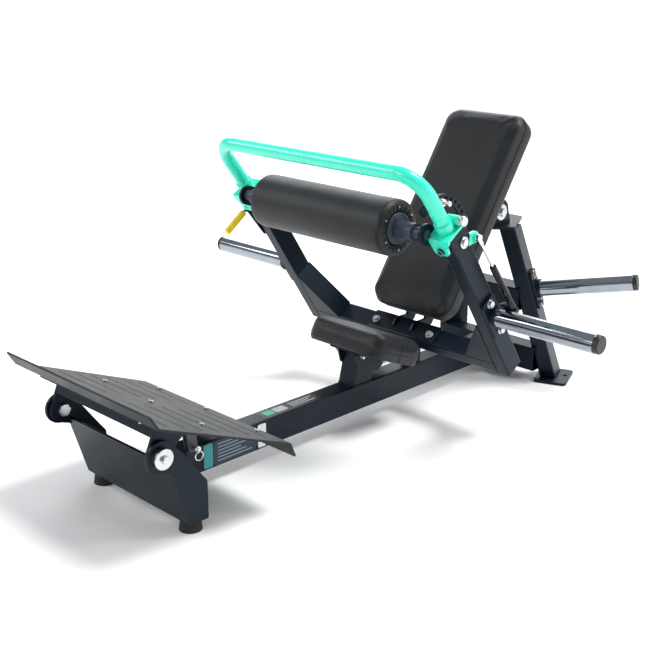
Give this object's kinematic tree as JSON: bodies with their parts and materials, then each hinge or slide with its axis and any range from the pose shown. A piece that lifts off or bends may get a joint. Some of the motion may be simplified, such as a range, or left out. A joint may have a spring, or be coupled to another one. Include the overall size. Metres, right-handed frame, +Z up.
{
  "type": "hip thrust machine",
  "caption": "Plate-loaded hip thrust machine with seat and back pads on a pivoting lever, a swing-over roller with handle, and a tilting foot platform.",
  "frame": {"origin": "on the floor, under the middle of the machine's overall box", "axes": "+Z up, +Y from the foot platform to the back pad, +X to the seated user's left"},
  "size_m": [1.41, 1.6686, 0.8281],
  "materials": {
    "frame_black": "satin powder coat",
    "tread_black": "satin",
    "latch_grey": "satin",
    "mint": "gloss powder coat",
    "chrome": "polished",
    "zinc": "zinc plated",
    "vinyl": "grained vinyl",
    "board": "sealed",
    "rubber": "matt",
    "cap_black": "satin",
    "axle_steel": "satin",
    "cylinder_black": "gloss",
    "rod_steel": "polished",
    "grip_yellow": "matt"
  },
  "bodies": {
    "base": {"main_beam": "frame_black", "stand_stub": "frame_black", "flange_bolts": "zinc", "front_stand": "frame_black", "latch_strap": "frame_black", "front_feet": "rubber", "seat_post": "frame_black", "seat_board": "board", "seat_pad": "vinyl", "seat_bolts": "zinc", "rear_leg_left": "frame_black", "rear_leg_right": "frame_black", "lower_crossbar": "frame_black", "middle_crossbar": "frame_black", "top_plate": "frame_black", "rear_soles": "frame_black", "storage_horns": "chrome", "storage_horn_mounts": "frame_black", "storage_horn_caps": "cap_black", "storage_horn_bolts": "zinc", "stop_rubber": "rubber", "hinge_bolts": "zinc"},
    "lever": {"cross_beam": "frame_black", "arm_left": "frame_black", "arm_right": "frame_black", "corner_boxes": "frame_black", "index_sector": "frame_black", "weight_horns": "chrome", "horn_mounts": "frame_black", "horn_caps": "cap_black", "lever_bolts": "zinc", "back_pad": "vinyl", "back_board": "board", "pad_bolts": "zinc", "spine": "frame_black", "spine_bracket": "frame_black", "lever_shaft": "zinc", "gate_pins": "zinc", "latch_bar": "frame_black"},
    "gate": {"handle": "mint", "handle_collars": "mint", "clevis_left": "mint", "clevis_right": "mint", "gate_cheeks": "frame_black", "gate_bumper": "rubber", "gate_fittings": "zinc", "roller_axle": "axle_steel"},
    "roller": {"roller_core": "axle_steel", "roller_bearings": "axle_steel", "roller_pad": "vinyl"},
    "gas_cylinder": {"gas_spring_cylinder": "cylinder_black"},
    "gas_rod": {"gas_spring_rod": "rod_steel"},
    "lock_lever": {"release_lever": "zinc", "release_grip": "grip_yellow"},
    "lock_pin": {"lock_pin": "zinc"},
    "platform": {"tread": "tread_black", "platform_frame": "frame_black", "tread_screws": "zinc", "latch_bracket": "latch_grey"},
    "latch_pin": {"latch_pin": "zinc"}
  },
  "joints": [
    {"name": "lever_hinge", "type": "hinge", "parent": "base", "child": "lever", "pos_m": [0, 0.59908, 0.535], "axis": [-1, 0, 0], "range_deg": [0, 40]},
    {"name": "gate_hinge", "type": "hinge", "parent": "lever", "child": "gate", "pos_m": [0, 0.03908, 0.596], "axis": [-1, 0, 0], "range_deg": [0, 70.8]},
    {"name": "roller_spin", "type": "hinge", "parent": "gate", "child": "roller", "pos_m": [0, -0.02592, 0.616], "axis": [1, 0, 0], "continuous": true},
    {"name": "platform_tilt", "type": "hinge", "parent": "base", "child": "platform", "pos_m": [0, -0.75292, 0.221], "axis": [1, 0, 0], "range_deg": [0, 15]},
    {"name": "latch_pin_slide", "type": "slide", "parent": "platform", "child": "latch_pin", "axis": [-1, 0, 0], "range_m": [0, 0.012]},
    {"name": "lock_lever_hinge", "type": "hinge", "parent": "lever", "child": "lock_lever", "pos_m": [-0.396, 0.02921, 0.55772], "axis": [1, 0, 0], "range_deg": [0, 25]},
    {"name": "lock_pin_slide", "type": "slide", "parent": "gate", "child": "lock_pin", "axis": [-1, 0, 0], "range_m": [0, 0.0121]},
    {"name": "gas_cylinder_hinge", "type": "hinge", "parent": "lever", "child": "gas_cylinder", "pos_m": [0.404, 0.25208, 0.378], "axis": [1, 0, 0], "range_deg": [0, 10.51]},
    {"name": "gas_rod_slide", "type": "slide", "parent": "gas_cylinder", "child": "gas_rod", "axis": [0, -0.6, 0.8], "range_m": [-0.0182, 0]}
  ],
  "couplings": [
    {"joint": "gas_cylinder_hinge", "follows": "gate_hinge", "ratio": 0.14775},
    {"joint": "gas_rod_slide", "follows": "gate_hinge", "m_per_rad": -0.014685},
    {"joint": "lock_pin_slide", "follows": "lock_lever_hinge", "m_per_rad": 0.027502}
  ]
}
